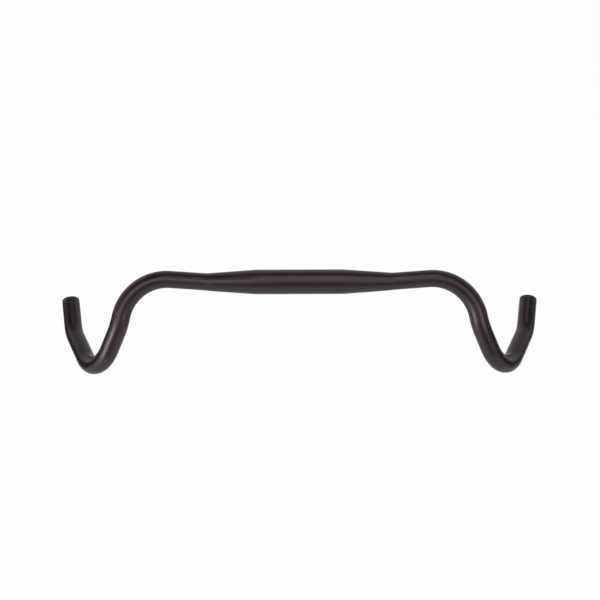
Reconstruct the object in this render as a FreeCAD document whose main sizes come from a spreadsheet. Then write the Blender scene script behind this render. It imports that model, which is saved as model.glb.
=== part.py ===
"""Flared drop handlebar for a bicycle, with an expanding plug in each end.

The bar is one butted aluminium tube.  Its middle is bulge-formed to the size of the stem clamp
and tapers out to thinner tops.  Each half is then bent five times: back at the end of the
taper, forward at the shoulder, down at the hood, round the hook, and out at the kink before the
bar end.  Round the shoulder the tube swells from the diameter of the tops to that of the drops.
The expanding plug in each end is a domed cap, a slotted sleeve, a cone nut and a cap screw.

Frame: origin in the middle of the seat for the stem clamp, +X along that seat to the rider's
right, +Z up, and the front of the bicycle towards -Y.  Millimetres and degrees.
"""
import FreeCAD, Part
import math
import os
import re
import Sketcher
from FreeCAD import Placement, Rotation, Vector

DOC = FreeCAD.newDocument("drop_handlebar")
X_AXIS = Vector(1, 0, 0)
Z_AXIS = Vector(0, 0, 1)

# ---------------------------------------------------------------- driving dimensions
SIZES = [
    # tube: diameters and walls
    ("clamp_diameter", 31.8, "outside of the seat for the stem clamp"),
    ("clamp_wall", 2.4, "wall under the stem clamp"),
    ("neck_diameter", 24.0, "outside where the taper meets the backsweep bend"),
    ("tops_diameter", 22.2, "outside of the tops"),
    ("tops_wall", 2.0, "wall of the neck and the tops"),
    ("drop_diameter", 23.8, "outside past the shoulder, where the levers clamp"),
    ("drop_wall", 1.8, "wall past the shoulder"),
    ("end_chamfer", 0.4, "broken edge round the cut end"),
    # tube: overall width, which sets the length of the tops
    ("tip_width", 642.8, "between the middles of the two cut ends"),
    # tube: the other straight runs, from the middle outwards
    ("clamp_half", 50.0, "half of the parallel seat for the stem clamp"),
    ("taper_length", 60.0, "from the seat to the backsweep bend"),
    ("taper_round", 12.0, "part of the taper that curves away from the seat"),
    ("ramp_length", 3.0, "from the shoulder to the hood bend"),
    ("front_length", 23.7, "from the hood bend to the hook"),
    ("drop_length", 44.7, "from the hook to the kink"),
    ("end_length", 35.7, "from the kink to the cut end"),
    # tube: centreline radius of each bend
    ("backsweep_radius", 150.0, "bend from the taper to the tops"),
    ("shoulder_radius", 60.5, "bend from the tops to the ramp"),
    ("hood_radius", 60.0, "bend from the ramp to the front of the drop"),
    ("hook_radius", 41.0, "bend round the hook"),
    ("kink_radius", 48.0, "bend from the drop to the end"),
    # tube: directions
    ("backsweep_angle", 4.3, "tops point back from straight across by"),
    ("ramp_out_angle", 13.0, "ramp points out from straight ahead by"),
    ("ramp_fall_angle", 20.0, "ramp falls towards the front by"),
    ("flare_angle", 41.0, "plane of the drop leans out from upright by"),
    ("hood_angle", 19.0, "hood bend turns down in the plane of the drop by"),
    ("hook_angle", 100.0, "hook turns back in the plane of the drop by"),
    ("end_out_angle", 11.0, "end points out from straight back by"),
    ("end_fall_angle", 5.0, "end falls towards the back by"),
    # plug: cap, with a pocket for the screw head
    ("seat_clearance", 0.05, "between the faces of two pieces that move apart"),
    ("cap_inset", 0.2, "cap is smaller than the tube on the radius by"),
    ("cap_height", 4.6, "cap outside the tube"),
    ("cap_bevel", 1.5, "bevel round the rim of the cap"),
    ("spigot_length", 7.0, "cap inside the tube"),
    ("spigot_clearance", 0.1, "between the spigot and the bore on the radius"),
    ("head_recess", 0.9, "screw head lies below the top of the cap by"),
    ("head_clearance", 0.25, "between the screw head and its pocket on the radius"),
    ("screw_clearance", 0.1, "between the screw and the cap on the radius"),
    # plug: cap screw
    ("screw_diameter", 4.0, "shank of the screw"),
    ("screw_reach", 2.0, "screw past the tightened nut"),
    ("screw_chamfer", 0.4, "broken edge at both ends of the screw"),
    ("head_diameter", 7.0, "head of the screw"),
    ("head_height", 4.0, "head of the screw"),
    ("socket_width", 3.0, "across the flats of the hexagon socket"),
    ("socket_depth", 2.0, "depth of the hexagon socket"),
    # plug: expanding sleeve
    ("sleeve_length", 20.0, "sleeve from the cap inwards"),
    ("sleeve_clearance", 0.15, "between the sleeve and the bore on the radius"),
    ("sleeve_bore", 5.6, "bore round the screw before the cone starts"),
    ("sleeve_lip", 1.9, "wall of the sleeve at its open end"),
    ("sleeve_collar", 4.0, "end of the sleeve that the slots leave whole"),
    ("cone_angle", 18.0, "slope of the cone from the axis"),
    ("slot_width", 1.8, "slots along the sleeve"),
    ("slot_count", 4, "slots along the sleeve"),
    ("groove_width", 1.4, "grip grooves round the sleeve"),
    ("groove_depth", 0.5, "grip grooves round the sleeve"),
    ("groove_pitch", 5.5, "from one grip groove to the next"),
    ("groove_count", 2, "grip grooves round the sleeve"),
    # plug: cone nut, with a key in each slot of the sleeve
    ("nut_depth", 9.6, "tightened nut inside the sleeve"),
    ("nut_tail", 2.4, "tightened nut past the open end of the sleeve"),
    ("cone_clearance", 0.1, "between the nut and the sleeve on the radius"),
    ("thread_clearance", 0.05, "between the screw and the nut on the radius"),
    ("key_length", 6.0, "key inside its slot"),
    ("key_clearance", 0.15, "between a key and each side of its slot"),
    ("key_inset", 0.5, "key lies below the outside of the sleeve by"),
]
ALIASES = [alias for alias, _, _ in SIZES]

SHEET = DOC.addObject("Spreadsheet::Sheet", "sizes")
for row, (alias, value, meaning) in enumerate(SIZES, start=1):
    SHEET.set("A%d" % row, meaning)
    SHEET.set("B%d" % row, str(value))
    SHEET.setAlias("B%d" % row, alias)
DOC.recompute()


def formula(text):
    """An expression in sheet aliases, with each alias written in full for FreeCAD."""
    return re.sub("[a-z_]+", lambda word: "sizes." * (word[0] in ALIASES) + word[0], text)


def amount(text):
    """Value of an expression in sheet aliases."""
    return float(SHEET.evalExpression(formula(text)))


# ---------------------------------------------------------------- bodies and sketches
def new_body(label):
    """An empty body; its label is also the name of its file."""
    body = DOC.addObject("PartDesign::Body", label)
    body.Label = label
    return body


def origin_feature(body, role):
    """One of the body's own origin planes or axes, such as XZ_Plane."""
    return next(item for item in body.Origin.OriginFeatures if item.Role == role)


def plane_sketch(body, name, role, offset="0"):
    """A sketch on an origin plane of the body, lifted off it by an expression."""
    sketch = body.newObject("Sketcher::SketchObject", name)
    sketch.AttachmentSupport = (origin_feature(body, role), [""])
    sketch.MapMode = "FlatFace"
    sketch.setExpression(".AttachmentOffset.Base.z", formula(offset))
    DOC.recompute()
    return sketch


def hold(sketch, kind, where, text):
    """Adds a dimension to a sketch and ties it to an expression."""
    index = sketch.addConstraint(Sketcher.Constraint(kind, *where, amount(text)))
    sketch.setExpression("Constraints[%d]" % index, formula(text))


def hold_point(sketch, edge, end, across, along):
    """Ties one end of an edge to a place in the sketch; "0" puts it on the axis."""
    for kind, axis, text in (("DistanceX", -2, across), ("DistanceY", -1, along)):
        if text == "0":
            sketch.addConstraint(Sketcher.Constraint("PointOnObject", edge, end, axis))
        elif amount(text) < 0:
            hold(sketch, kind, (edge, end, -1, 1), "-(" + text + ")")
        else:
            hold(sketch, kind, (-1, 1, edge, end), text)


def arc_through(flat, heading, other):
    """Arc from one corner to another that is tangent to heading at the first of them."""
    chord = other - flat
    side = Vector(-heading.y, heading.x, 0)
    side = side * math.copysign(1, side.dot(chord))
    radius = chord.dot(chord) / (2 * chord.dot(side))
    centre = flat + side * radius
    angles = [math.atan2(point.y - centre.y, point.x - centre.x) for point in (flat, other)]
    if (angles[1] - angles[0]) % (2 * math.pi) > math.pi:
        angles.reverse()
    return Part.ArcOfCircle(Part.Circle(centre, Z_AXIS, radius), *angles)


def outline(sketch, corners):
    """Closed outline through corners, each (across, along) and the kind of edge after it.

    A corner without a kind starts a straight edge.  "arc out" starts an arc that is tangent to
    the edge before it, and "arc in" starts an arc that is tangent to the edge after it.
    """
    count = len(corners)
    kinds = [(corner + ("line",))[2] for corner in corners]
    places = [Vector(amount(corner[0]), amount(corner[1]), 0) for corner in corners]
    ends = []
    for index, kind in enumerate(kinds):
        before, start = places[index - 1], places[index]
        end, after = places[(index + 1) % count], places[(index + 2) % count]
        if kind == "line":
            edge = Part.LineSegment(start, end)
        elif kind == "arc out":
            edge = arc_through(start, (start - before).normalize(), end)
        else:
            edge = arc_through(end, (after - end).normalize(), start)
        sketch.addGeometry(edge, False)
        forward = edge.StartPoint.distanceToPoint(start) < edge.StartPoint.distanceToPoint(end)
        ends.append((1, 2) if forward else (2, 1))
    for index, corner in enumerate(corners):
        smooth = kinds[index] == "arc out" or kinds[index - 1] == "arc in"
        meeting = ((index - 1) % count, ends[index - 1][1], index, ends[index][0])
        joint = "Tangent" if smooth else "Coincident"
        sketch.addConstraint(Sketcher.Constraint(joint, *meeting))
        hold_point(sketch, index, ends[index][0], corner[0], corner[1])
    DOC.recompute()


def rectangle(sketch, left, right, bottom, top):
    """Rectangle between four expressions."""
    outline(sketch, [(left, bottom), (right, bottom), (right, top), (left, top)])


def revolve(body, name, sketch, role, kind="PartDesign::Revolution"):
    """Turns a half outline all the way round an origin axis of the body."""
    feature = body.newObject(kind, name)
    feature.Profile = sketch
    feature.ReferenceAxis = (origin_feature(body, role), [""])
    feature.Angle = 360
    DOC.recompute()
    return feature


def turned_piece(label, corners):
    """A body turned about its Z axis from a half outline of (radius, height)."""
    body = new_body(label)
    sketch = plane_sketch(body, "profile", "XZ_Plane")
    outline(sketch, corners)
    revolve(body, "turned", sketch, "Z_Axis")
    return body


def ring_edges(feature, radius, centre, near=0.01):
    """Names of the round edges of a feature that have this radius and centre."""
    names = []
    for number, edge in enumerate(feature.Shape.Edges, start=1):
        if isinstance(edge.Curve, Part.Circle) and abs(edge.Curve.Radius - radius) < near:
            if edge.Curve.Center.distanceToPoint(centre) < near:
                names.append("Edge%d" % number)
    return names


def dress(body, kind, name, size, rings):
    """Fillet or chamfer round edges of the body, given as pairs of (radius, centre)."""
    base = body.Tip
    names = [found for radius, centre in rings for found in ring_edges(base, radius, centre)]
    feature = body.newObject(kind, name)
    feature.Base = (base, names)
    feature.setExpression("Radius" if kind.endswith("Fillet") else "Size", formula(size))
    DOC.recompute()
    return feature


def around(body, name, original, count):
    """Repeats a feature evenly round the Z axis of the body."""
    pattern = body.newObject("PartDesign::PolarPattern", name)
    pattern.Originals = [original]
    pattern.Axis = (origin_feature(body, "Z_Axis"), [""])
    pattern.Angle = 360
    pattern.setExpression("Occurrences", formula(count))
    body.Tip = pattern
    DOC.recompute()
    return pattern


# ---------------------------------------------------------------- centreline of the tube
def direction(outsweep, fall, forward):
    """Unit vector that points ahead or back, turned out and down by two angles."""
    out, down = math.radians(amount(outsweep)), math.radians(amount(fall))
    ahead = -1 if forward else 1
    level = math.cos(down)
    return Vector(level * math.sin(out), ahead * level * math.cos(out), -math.sin(down))


def turned(first, second, angle):
    """The first of two square directions, turned towards the second by an angle."""
    return first * math.cos(math.radians(angle)) + second * math.sin(math.radians(angle))


def headings():
    """Direction of each straight run of the right-hand half, from the middle outwards."""
    tops = turned(X_AXIS, Vector(0, 1, 0), amount("backsweep_angle"))
    ramp = direction("ramp_out_angle", "ramp_fall_angle", forward=True)
    lean = math.radians(amount("flare_angle"))
    down = Vector(math.sin(lean), 0, -math.cos(lean))
    down = (down - ramp * down.dot(ramp)).normalize()
    front = turned(ramp, down, amount("hood_angle"))
    drop = turned(ramp, down, amount("hood_angle + hook_angle"))
    end = direction("end_out_angle", "end_fall_angle", forward=False)
    return [X_AXIS, tops, ramp, front, drop, end]


def bend(start, heading, next_heading, radius):
    """Arc that turns a path from one heading to the next."""
    half_turn = heading.getAngle(next_heading) / 2
    end = start + (heading + next_heading) * radius * math.tan(half_turn)
    inward = (next_heading - heading).normalize()
    middle = (start + end) * 0.5 - inward * radius * (1 - math.cos(half_turn))
    return Part.Arc(start, middle, end).toShape(), end


def centreline(tops_length):
    """Edges of the right-hand half past the taper: each bend, then its straight run."""
    steps = [
        ("backsweep_radius", tops_length),
        ("shoulder_radius", amount("ramp_length")),
        ("hood_radius", amount("front_length")),
        ("hook_radius", amount("drop_length")),
        ("kink_radius", amount("end_length")),
    ]
    place = Vector(amount("clamp_half + taper_length"), 0, 0)
    edges = []
    path = headings()
    for (radius, length), heading, next_heading in zip(steps, path, path[1:]):
        arc, place = bend(place, heading, next_heading, amount(radius))
        end = place + next_heading * length
        edges += [arc, Part.LineSegment(place, end).toShape()]
        place = end
    return edges


def tip_of(edges):
    """Middle of the cut end."""
    return edges[-1].Vertexes[-1].Point


def length_of_tops():
    """Length of the straight tops that brings the cut ends to the named width."""
    trial = 1.0
    short_by = amount("tip_width / 2") - tip_of(centreline(trial)).x
    return trial + short_by / math.cos(math.radians(amount("backsweep_angle")))


def section_turns():
    """Rotation of the tube's section on each straight run, carried round the bends untwisted."""
    path = headings()
    turns = [Rotation(Z_AXIS, Vector(), X_AXIS, "ZXY")]
    for heading, next_heading in zip(path, path[1:]):
        turns.append(Rotation(heading, next_heading).multiply(turns[-1]))
    return turns


EDGES = centreline(length_of_tops())
TURNS = section_turns()
TIP = tip_of(EDGES)
TIP_HEADING = headings()[-1]


# ---------------------------------------------------------------- the tube
def ring(body, name, corner, turn, outside, wall):
    """Section of the tube at a vertex of the centreline, square to it."""
    sketch = body.newObject("Sketcher::SketchObject", name)
    sketch.Placement = Placement(corner.Point, turn)
    for width in (outside, outside + " - 2 * " + wall):
        circle = sketch.addGeometry(Part.Circle(Vector(), Z_AXIS, amount(width) / 2), False)
        sketch.addConstraint(Sketcher.Constraint("Coincident", circle, 3, -1, 1))
        hold(sketch, "Diameter", (circle,), width)
    DOC.recompute()
    return sketch


def bent_run(body, name, edges, turn, outside, wall):
    """Tube of one section along some edges of the centreline."""
    spine = DOC.addObject("Part::Feature", name + "_centreline")
    spine.Shape = Part.Wire(edges)
    pipe = body.newObject("PartDesign::AdditivePipe", name)
    pipe.Profile = ring(body, name + "_start", edges[0].firstVertex(), turn, outside, wall)
    pipe.Spine = (spine, ["Edge%d" % (number + 1) for number in range(len(edges))])
    DOC.recompute()
    return pipe


def swaged_bend(body, name, edge, turns, first, last):
    """Tube round one bend, from one section to another, each (outside, wall)."""
    pipe = bent_run(body, name, [edge], turns[0], *first)
    pipe.Transformation = "Multisection"
    pipe.Sections = [(ring(body, name + "_end", edge.lastVertex(), turns[1], *last), [""])]
    DOC.recompute()
    return pipe


def handlebar_tube():
    """The whole bent tube: bulged middle, thin tops, swaged shoulders, two drops."""
    body = new_body("handlebar_tube")
    half = plane_sketch(body, "middle_profile", "XZ_Plane")
    round_end, taper_end = "clamp_half + taper_round", "clamp_half + taper_length"
    curved_share = "taper_round / (2 * taper_length - taper_round)"
    outer_clamp, outer_neck = "clamp_diameter / 2", "neck_diameter / 2"
    inner_clamp, inner_neck = outer_clamp + " - clamp_wall", outer_neck + " - tops_wall"
    outer_fall = "(clamp_diameter - neck_diameter) / 2"
    inner_fall = outer_fall + " - clamp_wall + tops_wall"
    outline(half, [
        ("0", outer_clamp),
        ("clamp_half", outer_clamp, "arc out"),
        (round_end, outer_clamp + " - (" + outer_fall + ") * " + curved_share),
        (taper_end, outer_neck),
        (taper_end, inner_neck),
        (round_end, inner_clamp + " - (" + inner_fall + ") * " + curved_share, "arc in"),
        ("clamp_half", inner_clamp),
        ("0", inner_clamp),
    ])
    neck, tops = ("neck_diameter", "tops_wall"), ("tops_diameter", "tops_wall")
    drop = ("drop_diameter", "drop_wall")
    revolve(body, "bulged_middle", half, "X_Axis")
    swaged_bend(body, "backsweep", EDGES[0], TURNS[:2], neck, tops)
    bent_run(body, "tops", EDGES[1:2], TURNS[1], *tops)
    swaged_bend(body, "shoulder", EDGES[2], TURNS[1:3], tops, drop)
    bent_run(body, "drop", EDGES[3:], TURNS[2], *drop)
    mirror = body.newObject("PartDesign::Mirrored", "other_half")
    mirror.TransformMode = "Whole shape"
    mirror.MirrorPlane = (origin_feature(body, "YZ_Plane"), [""])
    body.Tip = mirror
    DOC.recompute()
    other_tip = Vector(-TIP.x, TIP.y, TIP.z)
    rim = amount("drop_diameter / 2")
    dress(body, "PartDesign::Chamfer", "cut_ends", "end_chamfer", [(rim, TIP), (rim, other_tip)])
    return body


# ---------------------------------------------------------------- the plug
BORE = "(drop_diameter / 2 - drop_wall)"
HEAD_TOP = "(cap_height - head_recess)"
HEAD_SEAT = "(" + HEAD_TOP + " - head_height)"
SLEEVE_TOP = "-spigot_length"
SLEEVE_MOUTH = "(-spigot_length - sleeve_length)"
SLEEVE_RADIUS = "(" + BORE + " - sleeve_clearance)"
MOUTH_RADIUS = "(" + SLEEVE_RADIUS + " - sleeve_lip)"
SLOPE = "tan(cone_angle)"


def plug_cap(label):
    """Domed cap: its spigot fills the bore and its pocket takes the screw head."""
    cap_radius = "drop_diameter / 2 - cap_inset"
    spigot_radius = BORE + " - spigot_clearance"
    pocket_radius = "head_diameter / 2 + head_clearance"
    hole_radius = "screw_diameter / 2 + screw_clearance"
    floor = HEAD_SEAT + " - seat_clearance"
    body = turned_piece(label, [
        (pocket_radius, "cap_height"),
        (cap_radius, "cap_height"),
        (cap_radius, "seat_clearance"),
        (spigot_radius, "seat_clearance"),
        (spigot_radius, SLEEVE_TOP),
        (hole_radius, SLEEVE_TOP),
        (hole_radius, floor),
        (pocket_radius, floor),
    ])
    rim = (amount(cap_radius), Z_AXIS * amount("cap_height"))
    dress(body, "PartDesign::Chamfer", "rim", "cap_bevel", [rim])
    return body


def plug_sleeve(label):
    """Slotted sleeve: the cone nut spreads it against the bore."""
    cone_start = SLEEVE_MOUTH + " + (" + MOUTH_RADIUS + " - sleeve_bore / 2) / " + SLOPE
    body = turned_piece(label, [
        ("sleeve_bore / 2", SLEEVE_TOP),
        (SLEEVE_RADIUS, SLEEVE_TOP),
        (SLEEVE_RADIUS, SLEEVE_MOUTH),
        (MOUTH_RADIUS, SLEEVE_MOUTH),
        ("sleeve_bore / 2", cone_start),
    ])
    groove = plane_sketch(body, "groove_profile", "XZ_Plane")
    groove_top = SLEEVE_TOP + " - groove_pitch"
    rectangle(groove, SLEEVE_RADIUS + " - groove_depth", SLEEVE_RADIUS + " + groove_depth",
              groove_top + " - groove_width", groove_top)
    cut = revolve(body, "groove", groove, "Z_Axis", "PartDesign::Groove")
    rows = body.newObject("PartDesign::LinearPattern", "grooves")
    rows.Originals = [cut]
    rows.Direction = (origin_feature(body, "Z_Axis"), [""])
    rows.Reversed = True
    rows.Mode = "Spacing"
    rows.setExpression("Offset", formula("groove_pitch"))
    rows.setExpression("Occurrences", formula("groove_count"))
    body.Tip = rows
    DOC.recompute()
    slot = plane_sketch(body, "slot_outline", "XY_Plane", SLEEVE_MOUTH)
    rectangle(slot, "0", SLEEVE_RADIUS + " + slot_width", "-slot_width / 2", "slot_width / 2")
    pocket = body.newObject("PartDesign::Pocket", "slot")
    pocket.Profile = slot
    pocket.Reversed = True
    pocket.setExpression("Length", formula("sleeve_length - sleeve_collar"))
    DOC.recompute()
    around(body, "slots", pocket, "slot_count")
    return body


def plug_cone_nut(label):
    """Cone nut: keys hold it from turning while the screw draws it up the sleeve."""
    tail = SLEEVE_MOUTH + " - nut_tail"
    top = SLEEVE_MOUTH + " + nut_depth"
    narrow = MOUTH_RADIUS + " - nut_depth * " + SLOPE + " - cone_clearance"
    wide = MOUTH_RADIUS + " + nut_tail * " + SLOPE + " - cone_clearance"
    hole_radius = "screw_diameter / 2 + thread_clearance"
    body = turned_piece(label, [
        (hole_radius, top),
        (narrow, top),
        (wide, tail),
        (hole_radius, tail),
    ])
    key = plane_sketch(body, "key_outline", "XY_Plane", tail)
    half_width = "(slot_width / 2 - key_clearance)"
    rectangle(key, "(" + hole_radius + " + " + wide + ") / 2", SLEEVE_RADIUS + " - key_inset",
              "-" + half_width, half_width)
    pad = body.newObject("PartDesign::Pad", "key")
    pad.Profile = key
    pad.setExpression("Length", formula("nut_tail + key_length"))
    DOC.recompute()
    around(body, "keys", pad, "slot_count")
    return body


def plug_screw(label):
    """Cap screw with a hexagon socket."""
    head_radius, shank_radius = "head_diameter / 2", "screw_diameter / 2"
    point = SLEEVE_MOUTH + " - nut_tail - screw_reach"
    body = turned_piece(label, [
        ("0", HEAD_TOP),
        (head_radius, HEAD_TOP),
        (head_radius, HEAD_SEAT),
        (shank_radius, HEAD_SEAT),
        (shank_radius, point),
        ("0", point),
    ])
    rims = [(amount(head_radius), Z_AXIS * amount(HEAD_TOP)),
            (amount(shank_radius), Z_AXIS * amount(point))]
    dress(body, "PartDesign::Chamfer", "broken_edges", "screw_chamfer", rims)
    socket = plane_sketch(body, "socket_outline", "XY_Plane", HEAD_TOP)
    reach = "socket_width / 2 / cos(30)"
    outline(socket, [("%s * cos(%d)" % (reach, turn), "%s * sin(%d)" % (reach, turn))
                     for turn in range(10, 370, 60)])
    pocket = body.newObject("PartDesign::Pocket", "socket")
    pocket.Profile = socket
    pocket.setExpression("Length", formula("socket_depth"))
    DOC.recompute()
    return body


# ---------------------------------------------------------------- assembly and files
PIECES = [handlebar_tube()]
for side, sign in (("left", -1), ("right", 1)):
    tip = Vector(sign * TIP.x, TIP.y, TIP.z)
    heading = Vector(sign * TIP_HEADING.x, TIP_HEADING.y, TIP_HEADING.z)
    for build in (plug_cap, plug_sleeve, plug_cone_nut, plug_screw):
        piece = build(side + "_" + build.__name__)
        piece.Placement = Placement(tip, Rotation(X_AXIS, Vector(), heading, "ZXY"))
        PIECES.append(piece)
DOC.recompute()

for item in DOC.Objects:
    if "Invalid" in item.State or "Error" in item.State:
        raise RuntimeError("%s did not compute" % item.Label)
for piece in PIECES:
    if piece.Shape.isNull() or not piece.Shape.isValid() or len(piece.Shape.Solids) != 1:
        raise RuntimeError("%s is not one valid solid" % piece.Label)

os.makedirs("parts", exist_ok=True)
for piece in PIECES:
    piece.Shape.exportStep("parts/%s.step" % piece.Label)
    print("%-22s %9.1f mm3" % (piece.Label, piece.Shape.Volume))

PATH = Part.Wire(EDGES)
print("reach %.1f" % -PATH.BoundBox.YMin, "drop %.1f" % -PATH.BoundBox.ZMin,
      "tops %.3f" % EDGES[1].Length)
print("tip", [round(value, 3) for value in TIP], "heading",
      [round(value, 5) for value in TIP_HEADING])
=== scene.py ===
# %% [markdown]
# # Flared drop handlebar
# A drop bar for a bicycle is one aluminium tube, bulged in the middle for the stem, swaged round
# the shoulders for the lever bands, and bent five times on each side.  A plug closes each end.
# The imported CAD model is the fixed frame of this scene, and the pieces made here stand in
# its place with a finer shape and a real finish.

# %% Load the frame
from math import atan2, cos, pi, radians, sin

import bmesh
import bpy
from mathutils import Euler, Matrix, Vector


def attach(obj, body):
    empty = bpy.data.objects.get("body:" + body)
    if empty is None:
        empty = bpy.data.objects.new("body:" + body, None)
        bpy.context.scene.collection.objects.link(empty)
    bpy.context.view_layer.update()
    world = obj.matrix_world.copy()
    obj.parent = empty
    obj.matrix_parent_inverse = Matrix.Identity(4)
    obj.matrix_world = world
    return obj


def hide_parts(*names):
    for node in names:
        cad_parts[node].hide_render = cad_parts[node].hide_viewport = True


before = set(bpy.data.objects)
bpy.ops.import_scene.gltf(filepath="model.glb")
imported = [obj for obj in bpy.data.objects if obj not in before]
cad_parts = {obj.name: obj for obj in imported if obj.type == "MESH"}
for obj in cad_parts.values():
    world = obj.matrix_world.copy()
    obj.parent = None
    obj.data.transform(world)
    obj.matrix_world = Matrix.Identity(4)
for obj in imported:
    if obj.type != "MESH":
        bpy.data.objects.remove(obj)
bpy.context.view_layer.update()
MM = 0.001

# %% [markdown]
# ## The camera
# The view looks down steeply from in front of the bar, so the drops show in plan and their fall
# towards the ground only as a shortening.  A long lens keeps that plan nearly free of perspective.

# %% Camera
CAMERA_TURN = Euler((radians(21.585), radians(0.007), radians(-0.211)))
CAMERA_DISTANCE = 1.2
camera = bpy.data.objects.new("camera", bpy.data.cameras.new("camera"))
bpy.context.scene.collection.objects.link(camera)
camera.rotation_euler = CAMERA_TURN
camera.location = CAMERA_TURN.to_matrix() @ Vector((0, 0, CAMERA_DISTANCE))
camera.data.lens = 56.027
camera.data.shift_x, camera.data.shift_y = 0.0007, -0.0303
bpy.context.scene.camera = camera
bpy.context.scene.view_settings.view_transform = "Standard"
print("camera at", [round(value, 3) for value in camera.location])

# %% [markdown]
# ## Small tools
# Three helpers serve the whole scene.  One turns a colour as a designer writes it into the linear
# light that Blender computes with, one adds a node, and one turns a finished bmesh into a piece
# that rides on a body of the frame and takes the place of a CAD node.


# %% Colours and nodes
def linear(colour):
    """An sRGB hex colour, such as "#808080", as linear RGBA."""
    shares = [int(colour[at:at + 2], 16) / 255 for at in (1, 3, 5)]
    return [share / 12.92 if share <= 0.04045 else ((share + 0.055) / 1.055) ** 2.4
            for share in shares] + [1]


def add(tree, kind, values={}, links={}, **options):
    """Adds a node with its options, the values of its sockets and the outputs that feed them."""
    made = tree.nodes.new("ShaderNode" + kind)
    for name, option in options.items():
        setattr(made, name, option)
    for socket, value in values.items():
        made.inputs[socket].default_value = value
    for socket, source in links.items():
        tree.links.new(source, made.inputs[socket])
    return made


def new_material(name):
    """An empty material and the node tree inside it."""
    made = bpy.data.materials.new(name)
    made.use_nodes = True
    made.node_tree.nodes.clear()
    return made, made.node_tree


# %% Pieces
SHARP_ANGLE = radians(32)


def piece(name, shell, material, body, slot, *nodes):
    """Makes an object of a bmesh, shades it smooth between its sharp edges, and mounts it."""
    for face in shell.faces:
        face.smooth = True
    for edge in shell.edges:
        if len(edge.link_faces) == 2 and edge.calc_face_angle() > SHARP_ANGLE:
            edge.smooth = False
    mesh = bpy.data.meshes.new(name)
    shell.to_mesh(mesh)
    shell.free()
    mesh.materials.append(material)
    made = bpy.data.objects.new(name, mesh)
    bpy.context.scene.collection.objects.link(made)
    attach(made, body)
    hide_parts(*nodes)
    mesh.calc_loop_triangles()
    print(name, "has", len(mesh.loop_triangles), "triangles")
    return made


# %% [markdown]
# ## Bead-blasted, black anodised aluminium
# The bar is blasted with fine glass beads and then anodised, which grows a hard layer of clear
# oxide that holds a black dye.  The eye sees two reflections at once.  One comes off the blasted
# metal through the dye: broad, very dark, and plum-brown where the dye lets red through.  The other
# comes off the oxide itself: weaker, sharper and colourless.  A Principled metal gives the first
# and its coat the second.  A plain dark plastic glows wherever light falls, so it cannot do this.

# %% Anodised finish
BEAD = 0.3 * MM      # dimples are about 0.1 mm across, drawn three times as coarse to show
DYE_CLOUD = 22 * MM  # slow drift of the dye along the tube


def anodised_aluminium():
    material, tree = new_material("black_anodised_aluminium")
    place = add(tree, "TexCoord").outputs["Object"]
    cloud = add(tree, "TexNoise", {"Scale": 1 / DYE_CLOUD, "Detail": 3}, {"Vector": place})
    bead = add(tree, "TexNoise", {"Scale": 1 / BEAD, "Detail": 1}, {"Vector": place})
    dye = add(tree, "Mix", {"A": linear("#33272a"), "B": linear("#392c2f")},
              {"Factor": cloud.outputs["Fac"]}, data_type="RGBA")
    blast = add(tree, "MapRange", {"To Min": 0.43, "To Max": 0.53},
                {"Value": cloud.outputs["Fac"]})
    dimples = add(tree, "Bump", {"Strength": 0.03, "Distance": 0.01 * MM},
                  {"Height": bead.outputs["Fac"]})
    shader = add(tree, "BsdfPrincipled",
                 {"Metallic": 1.0, "Specular Tint": linear("#303030"),
                  "Coat Weight": 0.9, "Coat Roughness": 0.36, "Coat IOR": 1.4},
                 {"Base Color": dye.outputs["Result"], "Roughness": blast.outputs["Result"],
                  "Normal": dimples.outputs["Normal"],
                  "Coat Normal": dimples.outputs["Normal"]})
    add(tree, "OutputMaterial", links={"Surface": shader.outputs["BSDF"]})
    return material


ANODISED = anodised_aluminium()
print("made", ANODISED.name)

# %% [markdown]
# ## The path of the tube
# A bar is designed as straight runs and bends, because that is what a tube bender makes.  The path
# of the right-hand half starts in the middle of the stem clamp.  Each bend turns from one heading
# to the next, and the drops lie in a plane that leans outwards, which is the flare.

# %% Headings
def level_heading(outward, fall, ahead):
    """Direction ahead (-Y) or back (+Y), turned outwards and down by two angles in degrees."""
    out, down = radians(outward), radians(fall)
    return Vector((cos(down) * sin(out), (-1 if ahead else 1) * cos(down) * cos(out), -sin(down)))


def towards(first, second, angle):
    """The first of two square directions, turned towards the second by an angle in degrees."""
    return first * cos(radians(angle)) + second * sin(radians(angle))


BACKSWEEP, FLARE, HOOD_TURN, HOOK_TURN = 4.3, 41.0, 19.0, 100.0
across = Vector((1, 0, 0))
tops = towards(across, Vector((0, 1, 0)), BACKSWEEP)
ramp = level_heading(13.0, 20.0, ahead=True)
drop_plane = Vector((sin(radians(FLARE)), 0, -cos(radians(FLARE))))
downward = (drop_plane - ramp * drop_plane.dot(ramp)).normalized()
front = towards(ramp, downward, HOOD_TURN)
drop = towards(ramp, downward, HOOD_TURN + HOOK_TURN)
end = level_heading(11.0, 5.0, ahead=False)
print("end heading", [round(value, 4) for value in end])

# %% [markdown]
# ## Bending the tube
# The tube could be a curve with a round bevel, but a curve cannot change its wall, and its rings
# bunch up in tight bends.  Here a ring of points does what the bender does: `extrude_edge_only`
# pushes it along a straight run, and `spin` swings it round the centre of a bend.

# %% Skins
RING_POINTS = 72
STEP = 2.2 * MM  # length of tube between two rings


def grown(shell, ring, place, growth):
    """Scales a ring about its own middle."""
    verts = [item for item in ring if isinstance(item, bmesh.types.BMVert)]
    bmesh.ops.scale(shell, verts=verts, vec=[growth] * 3, space=Matrix.Translation(-place))
    return [item for item in ring if not isinstance(item, bmesh.types.BMFace)], place


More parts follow.
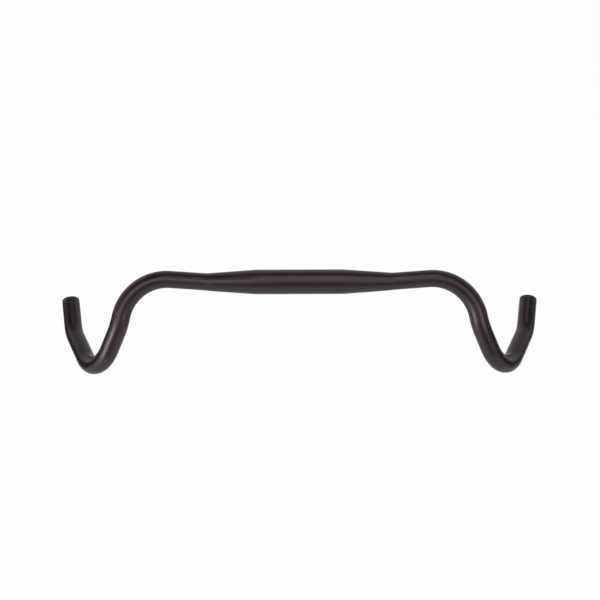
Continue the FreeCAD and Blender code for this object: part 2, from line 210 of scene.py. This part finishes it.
def straight(shell, ring, place, heading, length, radius_at):
    """Pushes a ring along a heading; radius_at gives its radius at each share of the run."""
    count = max(1, round(length / STEP))
    for turn in range(count):
        edges = [item for item in ring if isinstance(item, bmesh.types.BMEdge)]
        ring = bmesh.ops.extrude_edge_only(shell, edges=edges)["geom"]
        verts = [item for item in ring if isinstance(item, bmesh.types.BMVert)]
        bmesh.ops.translate(shell, verts=verts, vec=heading * length / count)
        place = place + heading * length / count
        growth = radius_at((turn + 1) / count) / radius_at(turn / count)
        ring, place = grown(shell, ring, place, growth)
    return ring, place


def bend(shell, ring, place, heading, next_heading, bend_radius, radius_at):
    """Swings a ring round the centre of a bend; radius_at gives the radius of the tube."""
    turn = heading.angle(next_heading)
    count = max(2, round(bend_radius * turn / STEP))
    axis = heading.cross(next_heading).normalized()
    hub = place + axis.cross(heading) * bend_radius
    for at in range(count):
        ring = bmesh.ops.spin(shell, geom=ring, cent=hub, axis=axis, angle=turn / count,
                              steps=1)["geom_last"]
        place = hub + Matrix.Rotation(turn / count, 3, axis) @ (place - hub)
        growth = radius_at((at + 1) / count) / radius_at(at / count)
        ring, place = grown(shell, ring, place, growth)
    return ring, place


# %% Run by run
CLAMP_HALF = 50.0                # half of the stem's seat, and all lengths here are in mm
TAPER, TAPER_ROUND = 60.0, 12.0  # cone beside the seat, and the part of it that curves away
TOPS_RUN, RAMP_RUN, FRONT_RUN, DROP_RUN, END_RUN = 45.479, 3.0, 23.7, 44.7, 35.7
SWEEP_BEND, SHOULDER_BEND, HOOD_BEND, HOOK_BEND, KINK_BEND = 150.0, 60.5, 60.0, 41.0, 48.0
CURVED_SHARE = TAPER_ROUND / (2 * TAPER - TAPER_ROUND)


def even(radius):
    """A radius that stays the same along a run."""
    return lambda share: radius


def curved(first, last):
    """A radius that leaves its first value slowly and then ever faster."""
    return lambda share: first + (last - first) * share ** 2


def swaged(first, last):
    """A radius that changes evenly along a run."""
    return lambda share: first + (last - first) * share


def skin(shell, clamp_radius, neck_radius, tops_radius, drop_radius):
    """One wall of the right-hand half of the tube, from the middle to the cut end."""
    made = bmesh.ops.create_circle(shell, segments=RING_POINTS, radius=clamp_radius,
                                   matrix=Matrix.Rotation(pi / 2, 4, "Y"))["verts"]
    ring = made + list({edge for vert in made for edge in vert.link_edges})
    place = Vector()
    cone_radius = clamp_radius + (neck_radius - clamp_radius) * CURVED_SHARE
    runs = [
        (across, CLAMP_HALF, even(clamp_radius)),
        (across, TAPER_ROUND, curved(clamp_radius, cone_radius)),
        (across, TAPER - TAPER_ROUND, swaged(cone_radius, neck_radius)),
        (across, tops, SWEEP_BEND, swaged(neck_radius, tops_radius)),
        (tops, TOPS_RUN, even(tops_radius)),
        (tops, ramp, SHOULDER_BEND, swaged(tops_radius, drop_radius)),
        (ramp, RAMP_RUN, even(drop_radius)),
        (ramp, front, HOOD_BEND, even(drop_radius)),
        (front, FRONT_RUN, even(drop_radius)),
        (front, drop, HOOK_BEND, even(drop_radius)),
        (drop, DROP_RUN, even(drop_radius)),
        (drop, end, KINK_BEND, even(drop_radius)),
        (end, END_RUN, even(drop_radius)),
    ]
    for *headings, length, radius_at in runs:
        shape = bend if len(headings) == 2 else straight
        ring, place = shape(shell, ring, place, *headings, length * MM, radius_at)
    return [item for item in ring if isinstance(item, bmesh.types.BMEdge)], place


# %% [markdown]
# ## The bent tube
# The wall is drawn as two skins, the outside and the bore, because the wall is thicker under the
# stem than in the drops.  At the cut end a ring is drawn in from the outside until it meets the
# bore, and a small bevel stands for the broken edge.  The half is then mirrored across the middle
# of the stem clamp.

# %% Tube
SECTIONS = [(31.8, 2.4), (24.0, 2.0), (22.2, 2.0), (23.8, 1.8)]  # outside and wall, in mm
CUT_BEVEL = 0.4      # mm, on the rim of the cut end
MERGE = 0.01 * MM    # points nearer than this are one point


def bent_tube():
    shell = bmesh.new()
    outside, tip = skin(shell, *[width / 2 * MM for width, _ in SECTIONS])
    skin(shell, *[(width / 2 - wall) * MM for width, wall in SECTIONS])
    lip = bmesh.ops.extrude_edge_only(shell, edges=outside)["geom"]
    width, wall = SECTIONS[-1]
    grown(shell, lip, tip, (width - 2 * wall) / width)
    bmesh.ops.remove_doubles(shell, verts=shell.verts, dist=MERGE)
    bmesh.ops.bevel(shell, geom=outside, offset=CUT_BEVEL * MM, segments=2, profile=0.5,
                    affect="EDGES", material=-1)
    bmesh.ops.mirror(shell, geom=shell.verts[:] + shell.edges[:] + shell.faces[:],
                     merge_dist=MERGE, axis="X")
    bmesh.ops.recalc_face_normals(shell, faces=shell.faces)
    print("tube ends at", [round(value / MM, 2) for value in tip], "mm")
    piece("bent_tube", shell, ANODISED, "handlebar", "tube", "handlebar_tube")
    return tip


TIP = bent_tube()

# %% [markdown]
# ## The plug in each end
# The CAD builds a plug about its own axis, with the cut end of the tube at zero and the open air
# above.  The same axes are rebuilt here from the tube's path, so a piece can be modelled upright at
# the origin and then carried to its place with one matrix.

# %% Axes of the plugs
def plug_place(sign, tip):
    """Matrix that stands a plug in the end of the tube; sign is -1 on the left side."""
    side = Matrix.Diagonal((sign, 1, 1))
    up = side @ end
    sideways = (across - up * up.dot(across)).normalized()
    turn = Matrix((sideways, up.cross(sideways), up)).transposed()
    return Matrix.Translation(side @ tip) @ turn.to_4x4()


PLUGS = {"left": plug_place(-1, TIP), "right": plug_place(1, TIP)}
print("the right plug points to", [round(value, 4) for value in PLUGS["right"].col[2][:3]])

# %% [markdown]
# ## Turned shapes
# A cap or a screw is round, so it can be drawn as half of its section and spun about its axis.
# `spin` with `use_merge` closes the last step onto the first, and the rings that lie on the axis
# are merged into a pole afterwards.


# %% Turning
def turned(outline, segments, closed):
    """A shape spun from (radius, height) points in mm about the Z axis."""
    shell = bmesh.new()
    verts = [shell.verts.new((radius * MM, 0, height * MM)) for radius, height in outline]
    pairs = list(zip(verts, verts[1:])) + ([(verts[-1], verts[0])] if closed else [])
    edges = [shell.edges.new(pair) for pair in pairs]
    bmesh.ops.spin(shell, geom=verts + edges, cent=(0, 0, 0), axis=(0, 0, 1), angle=2 * pi,
                   steps=segments, use_merge=True)
    bmesh.ops.remove_doubles(shell, verts=shell.verts, dist=0.001 * MM)
    return shell


def round_corners(shell, width, least_angle):
    """Rounds the edges that are sharper than an angle in degrees."""
    sharp = [edge for edge in shell.edges
             if len(edge.link_faces) == 2 and edge.calc_face_angle() > radians(least_angle)]
    bmesh.ops.bevel(shell, geom=sharp, offset=width * MM, segments=3, profile=0.5,
                    affect="EDGES", material=-1, clamp_overlap=True)


# %% [markdown]
# ## Moulded nylon
# The caps are injection moulded in black glass-filled nylon.  The mould is spark eroded, so the
# skin is an even, fine, dry grain with a weak highlight, a little greyer than the bar.

# %% Nylon finish
GRAIN = 0.18 * MM  # spark erosion leaves pits of about 0.05 mm, drawn coarser to show


def moulded_nylon():
    material, tree = new_material("moulded_black_nylon")
    place = add(tree, "TexCoord").outputs["Object"]
    pits = add(tree, "TexVoronoi", {"Scale": 1 / GRAIN}, {"Vector": place})
    flow = add(tree, "TexNoise", {"Scale": 1 / (4 * MM), "Detail": 2}, {"Vector": place})
    tone = add(tree, "Mix", {"A": linear("#1b191a"), "B": linear("#232021")},
               {"Factor": flow.outputs["Fac"]}, data_type="RGBA")
    dry = add(tree, "MapRange", {"To Min": 0.46, "To Max": 0.6},
              {"Value": flow.outputs["Fac"]})
    pitted = add(tree, "Bump", {"Strength": 0.35, "Distance": 0.02 * MM},
                 {"Height": pits.outputs["Distance"]})
    shader = add(tree, "BsdfPrincipled", {"IOR": 1.53},
                 {"Base Color": tone.outputs["Result"], "Roughness": dry.outputs["Result"],
                  "Normal": pitted.outputs["Normal"]})
    add(tree, "OutputMaterial", links={"Surface": shader.outputs["BSDF"]})
    return material


NYLON = moulded_nylon()
print("made", NYLON.name)

# %% [markdown]
# ## Caps
# The cap sits flush on the cut end.  Its rim has a broad bevel, its spigot fills the bore, and the
# screw head lies sunk in a pocket.  A moulding has no knife edges, so every corner is rounded.

# %% Caps
CAP_OUTLINE = [(3.75, 4.6), (10.2, 4.6), (11.7, 3.1), (11.7, 0.05), (10.0, 0.05), (10.0, -7.0),
               (2.1, -7.0), (2.1, -0.35), (3.75, -0.35)]  # (radius, height) in mm
CAP_SEGMENTS = 96
CAP_CORNER, SHARP_CORNER = 0.2, 30  # mm of rounding, on edges sharper than this many degrees


def cap(side):
    shell = turned(CAP_OUTLINE, CAP_SEGMENTS, closed=True)
    bmesh.ops.recalc_face_normals(shell, faces=shell.faces)
    round_corners(shell, CAP_CORNER, SHARP_CORNER)
    bmesh.ops.transform(shell, matrix=PLUGS[side], verts=shell.verts)
    return piece(side + "_cap", shell, NYLON, side + "_plug", "cap", side + "_plug_cap")


for side in PLUGS:
    cap(side)

# %% [markdown]
# ## Black oxide steel
# Cap screws are blackened in a hot salt bath, which turns the skin of the steel into magnetite.
# It is a thin, oily-looking charcoal with a steel sheen, patchy where the bath drained.

# %% Black oxide finish
PATCH = 1.6 * MM  # drift of the oxide over a small head


def black_oxide():
    material, tree = new_material("black_oxide_steel")
    place = add(tree, "TexCoord").outputs["Object"]
    patch = add(tree, "TexNoise", {"Scale": 1 / PATCH, "Detail": 4}, {"Vector": place})
    tone = add(tree, "Mix", {"A": linear("#2b2b2e"), "B": linear("#454548")},
               {"Factor": patch.outputs["Fac"]}, data_type="RGBA")
    sheen = add(tree, "MapRange", {"To Min": 0.28, "To Max": 0.46},
                {"Value": patch.outputs["Fac"]})
    shader = add(tree, "BsdfPrincipled", {"Metallic": 1.0},
                 {"Base Color": tone.outputs["Result"], "Roughness": sheen.outputs["Result"]})
    add(tree, "OutputMaterial", links={"Surface": shader.outputs["BSDF"]})
    return material


OXIDE = black_oxide()
print("made", OXIDE.name)

# %% [markdown]
# ## Cap screws
# The screw is an M4 cap screw, 0.7 mm in pitch.  Its head and plain shank are spun from an outline.
# The hexagon socket starts as a copy of the rim whose points are drawn in to the flats of a
# hexagon, so every point of the rim has its partner, and its walls are extruded down.  The thread
# is one profile swung round the axis with `dvec`, which lifts each step by a share of the pitch.

# %% Screws
PITCH, ROOT, CREST = 0.7, 1.57, 2.0  # mm
HEAD_POINTS = 48                     # a multiple of the six sides of the socket
HEAD_TOP, SOCKET_DEPTH, SOCKET_WIDTH = 3.7, 2.0, 3.0
POINT, THREAD_TOP = -31.4, -11.4     # ends of the thread
SCREW_OUTLINE = [(3.1, 3.7), (3.5, 3.3), (3.5, -0.3), (2.0, -0.3), (2.0, -11.0), (1.6, -11.4),
                 (0, -11.4)]


def open_rim(shell, height):
    """Edges of the open ring at a height in mm."""
    return [edge for edge in shell.edges if edge.is_boundary
            and all(abs(vert.co.z - height * MM) < MERGE for vert in edge.verts)]


def add_socket(shell):
    """Closes the top of the head round a hexagon socket."""
    made = bmesh.ops.extrude_edge_only(shell, edges=open_rim(shell, HEAD_TOP))["geom"]
    for vert in made:
        if isinstance(vert, bmesh.types.BMVert):
            past_corner = (atan2(vert.co.y, vert.co.x) + radians(30)) % radians(60)
            reach = SOCKET_WIDTH / 2 / cos(past_corner - radians(30)) * MM
            vert.co.xy = vert.co.xy.normalized() * reach
    hexagon = [item for item in made if isinstance(item, bmesh.types.BMEdge)]
    walls = bmesh.ops.extrude_edge_only(shell, edges=hexagon)["geom"]
    floor = [item for item in walls if isinstance(item, bmesh.types.BMVert)]
    bmesh.ops.translate(shell, verts=floor, vec=(0, 0, -SOCKET_DEPTH * MM))
    bmesh.ops.holes_fill(shell, edges=open_rim(shell, HEAD_TOP - SOCKET_DEPTH))


def thread():
    """A threaded rod from POINT to THREAD_TOP, cut square at both ends."""
    shell = bmesh.new()
    steps = 24
    turns = round((THREAD_TOP - POINT) / PITCH) + 3
    flank = [(ROOT, 0), (CREST, 0.26), (CREST, 0.35), (ROOT, 0.61), (ROOT, PITCH)]
    verts = [shell.verts.new((radius * MM, 0, (POINT - PITCH + height) * MM))
             for radius, height in flank]
    edges = [shell.edges.new(pair) for pair in zip(verts, verts[1:])]
    bmesh.ops.spin(shell, geom=verts + edges, cent=(0, 0, 0), axis=(0, 0, 1),
                   dvec=(0, 0, PITCH / steps * MM), angle=2 * pi * turns, steps=steps * turns)
    bmesh.ops.remove_doubles(shell, verts=shell.verts, dist=MERGE)
    for height, outwards in ((POINT, -1), (THREAD_TOP + 0.2, 1)):
        bmesh.ops.bisect_plane(
            shell, geom=shell.verts[:] + shell.edges[:] + shell.faces[:],
            plane_co=(0, 0, height * MM), plane_no=(0, 0, outwards), clear_outer=True)
        bmesh.ops.holes_fill(shell, edges=open_rim(shell, height))
    return shell


def screw(side):
    shell = turned(SCREW_OUTLINE, HEAD_POINTS, closed=False)
    add_socket(shell)
    rod = bpy.data.meshes.new("thread")
    threaded = thread()
    threaded.to_mesh(rod)
    threaded.free()
    shell.from_mesh(rod)
    bpy.data.meshes.remove(rod)
    bmesh.ops.recalc_face_normals(shell, faces=shell.faces)
    bmesh.ops.transform(shell, matrix=PLUGS[side], verts=shell.verts)
    return piece(side + "_cap_screw", shell, OXIDE, side + "_screw", "screw",
                 side + "_plug_screw")


for side in PLUGS:
    screw(side)

# %% [markdown]
# ## Moulded rubber and turned brass
# The sleeve and the cone nut keep the CAD's own shape, which has every slot, groove and key, and
# only get a finish.  The rubber is moulded, matt and faintly cloudy with bloom.  The brass is
# turned from bar, so its skin carries fine rings from the feed of the tool.

# %% Rubber finish
BLOOM = 3.5 * MM     # clouds of wax that come to the surface of rubber
SKIN = 0.25 * MM     # texture of the mould, drawn coarser to show


def moulded_rubber():
    material, tree = new_material("moulded_rubber")
    place = add(tree, "TexCoord").outputs["Object"]
    bloom = add(tree, "TexNoise", {"Scale": 1 / BLOOM, "Detail": 3}, {"Vector": place})
    skin_noise = add(tree, "TexNoise", {"Scale": 1 / SKIN, "Detail": 2}, {"Vector": place})
    tone = add(tree, "Mix", {"A": linear("#181818"), "B": linear("#262627")},
               {"Factor": bloom.outputs["Fac"]}, data_type="RGBA")
    matt = add(tree, "MapRange", {"To Min": 0.66, "To Max": 0.82},
               {"Value": bloom.outputs["Fac"]})
    rough = add(tree, "Bump", {"Strength": 0.3, "Distance": 0.02 * MM},
                {"Height": skin_noise.outputs["Fac"]})
    shader = add(tree, "BsdfPrincipled", {"IOR": 1.52},
                 {"Base Color": tone.outputs["Result"], "Roughness": matt.outputs["Result"],
                  "Normal": rough.outputs["Normal"]})
    add(tree, "OutputMaterial", links={"Surface": shader.outputs["BSDF"]})
    return material


RUBBER = moulded_rubber()
print("made", RUBBER.name)

# %% Brass finish
FEED = 0.3 * MM      # the tool moves 0.1 mm in a turn, drawn three times as coarse to show


def turned_brass():
    material, tree = new_material("turned_brass")
    place = add(tree, "TexCoord").outputs["Object"]
    parts = add(tree, "SeparateXYZ", links={"Vector": place})
    outward = add(tree, "Math", links={0: parts.outputs["X"]}, operation="ABSOLUTE")
    mirrored = add(tree, "CombineXYZ", links={"X": outward.outputs[0], "Y": parts.outputs["Y"],
                                              "Z": parts.outputs["Z"]})
    along = add(tree, "VectorMath", {1: end[:]}, {0: mirrored.outputs[0]},
                operation="DOT_PRODUCT")
    angle = add(tree, "Math", {1: 2 * pi / FEED}, {0: along.outputs["Value"]},
                operation="MULTIPLY")
    rings = add(tree, "Math", links={0: angle.outputs[0]}, operation="SINE")
    stain = add(tree, "TexNoise", {"Scale": 1 / (2.5 * MM), "Detail": 3}, {"Vector": place})
    tone = add(tree, "Mix", {"A": linear("#b4934c"), "B": linear("#cfb06a")},
               {"Factor": stain.outputs["Fac"]}, data_type="RGBA")
    shine = add(tree, "MapRange", {"To Min": 0.22, "To Max": 0.38},
                {"Value": stain.outputs["Fac"]})
    feed = add(tree, "Bump", {"Strength": 0.35, "Distance": 0.012 * MM},
               {"Height": rings.outputs[0]})
    shader = add(tree, "BsdfPrincipled", {"Metallic": 1.0},
                 {"Base Color": tone.outputs["Result"], "Roughness": shine.outputs["Result"],
                  "Normal": feed.outputs["Normal"]})
    add(tree, "OutputMaterial", links={"Surface": shader.outputs["BSDF"]})
    return material


BRASS = turned_brass()
print("made", BRASS.name)

# %% Finishes for the pieces that keep the CAD's shape
for side in PLUGS:
    for name, material in (("plug_sleeve", RUBBER), ("plug_cone_nut", BRASS)):
        kept = bpy.data.objects[side + "_" + name]
        kept.data.materials.clear()
        kept.data.materials.append(material)
        print(kept.name, "is", material.name)

# %% [markdown]
# ## A white room
# The bar is seen against plain white, so the floor lies far below it and its light comes back as an
# even white to the camera and to reflections.  The floor still takes part in the light as a matt
# surface, which keeps a trace of the shadow.  The walls of the room curve up from the floor like
# the cove of a studio, and above them the room is dark, so that a satin tube shows dark bands
# between its highlights.


# %% Seen light
def seen_directly(tree):
    """One for rays from the camera, off a gloss or through glass, and zero for matt light."""
    path = add(tree, "LightPath")
    gloss = add(tree, "Math", links={0: path.outputs["Is Camera Ray"],
                                     1: path.outputs["Is Glossy Ray"]}, operation="MAXIMUM")
    return add(tree, "Math", links={0: gloss.outputs[0],
                                    1: path.outputs["Is Transmission Ray"]}, operation="MAXIMUM")


def stage_set(name, shell, material):
    """A thing of the studio that is not part of the bar."""
    mesh = bpy.data.meshes.new(name)
    shell.to_mesh(mesh)
    shell.free()
    mesh.materials.append(material)
    made = bpy.data.objects.new(name, mesh)
    bpy.context.scene.collection.objects.link(made)
    return made


# %% Floor
FLOOR_HEIGHT, FLOOR_RADIUS = -0.95, 12
FLOOR_GLOW = 0.97  # share of the floor that is even white, so the rest keeps the shadow


def white_floor():
    material, tree = new_material("white_floor")
    matt = add(tree, "BsdfDiffuse", {"Color": linear("#f4f4f4")})
    glow = add(tree, "Emission")
    seen = add(tree, "MixShader", {"Fac": FLOOR_GLOW},
               {1: matt.outputs[0], 2: glow.outputs[0]})
    both = add(tree, "MixShader", links={0: seen_directly(tree).outputs[0],
                                         1: matt.outputs[0], 2: seen.outputs[0]})
    add(tree, "OutputMaterial", links={"Surface": both.outputs[0]})
    return material


shell = bmesh.new()
bmesh.ops.create_circle(shell, cap_ends=True, segments=64, radius=FLOOR_RADIUS,
                        matrix=Matrix.Translation((0, 0, FLOOR_HEIGHT)))
floor = stage_set("floor", shell, white_floor())
print("floor at", FLOOR_HEIGHT, "m")

# %% Room
COVE_TOP = (0.30, 0.42)  # sine of the angle above the horizon where the white fades out
ROOM_LIGHT = 0.05        # strength of the dim room above the cove


def room():
    made = bpy.data.worlds.new("room")
    bpy.context.scene.world = made
    made.use_nodes = True
    tree = made.node_tree
    tree.nodes.clear()
    way = add(tree, "TexCoord").outputs["Generated"]
    height = add(tree, "SeparateXYZ", links={0: way}).outputs["Z"]
    low = add(tree, "MapRange", {"From Min": COVE_TOP[0], "From Max": COVE_TOP[1],
                                 "To Min": 1.0, "To Max": 0.0}, {"Value": height})
    cove = add(tree, "Math", links={0: low.outputs["Result"],
                                    1: seen_directly(tree).outputs[0]}, operation="MULTIPLY")
    white = add(tree, "Background", {"Color": linear("#ffffff"), "Strength": 1.0})
    dim = add(tree, "Background", {"Color": linear("#ffffff"), "Strength": ROOM_LIGHT})
    mix = add(tree, "MixShader", links={0: cove.outputs[0], 1: dim.outputs[0],
                                        2: white.outputs[0]})
    add(tree, "OutputWorld", links={"Surface": mix.outputs[0]})


room()

# %% [markdown]
# ## Lamps and cards
# Five soft boxes draw the highlights.  A low box to the left and a higher one to the right put a
# broad line on the hoods, a box high on the left and one overhead run a soft line along the tops,
# and a high box behind lights the inner side of the lower legs.  The camera sees none of them.
# A black card, also unseen, stands a little low at each side.  It darkens the outer rim of the
# drops against the white.


# %% Lamps
def from_bar(azimuth, elevation):
    """Direction from the bar; azimuth 0 is in front of it and 90 to its right."""
    turn, rise = radians(azimuth), radians(elevation)
    return Vector((sin(turn) * cos(rise), -cos(turn) * cos(rise), sin(rise)))


def soft_box(name, azimuth, elevation, distance, wide, tall, radiance):
    """A soft box that looks as bright as a surface of the given radiance."""
    light = bpy.data.lights.new(name, "AREA")
    light.shape = "RECTANGLE"
    light.size, light.size_y = wide, tall
    light.energy = radiance * pi * wide * tall
    lamp = bpy.data.objects.new(name, light)
    bpy.context.scene.collection.objects.link(lamp)
    back = from_bar(azimuth, elevation)
    lamp.location = AIM + back * distance
    lamp.rotation_euler = back.to_track_quat("Z", "Y").to_euler()
    lamp.visible_camera = False
    print(name, "gives", round(radiance * wide * tall / distance ** 2 / pi, 2), "of full light")


AIM = Vector((0, 0, -0.05))
soft_box("left_box", -60, 28, 1.6, 0.6, 0.75, 9.0)
soft_box("high_left_box", -60, 66, 1.6, 0.6, 0.6, 3.8)
soft_box("right_box", 60, 48, 1.6, 0.6, 0.6, 5.4)
soft_box("back_box", 165, 68, 1.6, 0.6, 0.6, 2.8)
soft_box("top_box", 90, 82, 1.4, 0.5, 0.5, 2.6)


# %% Cards
def black_card(name, azimuth, elevation, distance, wide, tall):
    """A black card that faces the bar and is left out of the camera's view."""
    material, tree = new_material(name + "_felt")
    felt = add(tree, "BsdfDiffuse", {"Color": linear("#0a0a0a")})
    add(tree, "OutputMaterial", links={"Surface": felt.outputs[0]})
    back = from_bar(azimuth, elevation)
    shell = bmesh.new()
    bmesh.ops.create_grid(shell, x_segments=1, y_segments=1, size=0.5)
    bmesh.ops.scale(shell, verts=shell.verts, vec=(wide, tall, 1))
    bmesh.ops.transform(shell, verts=shell.verts,
                        matrix=Matrix.Translation(AIM + back * distance)
                        @ back.to_track_quat("Z", "Y").to_matrix().to_4x4())
    card = stage_set(name, shell, material)
    card.visible_camera = card.visible_shadow = card.visible_diffuse = False


black_card("left_card", -92, -16, 1.4, 0.7, 1.0)
black_card("right_card", 88, -8, 1.4, 0.7, 1.0)
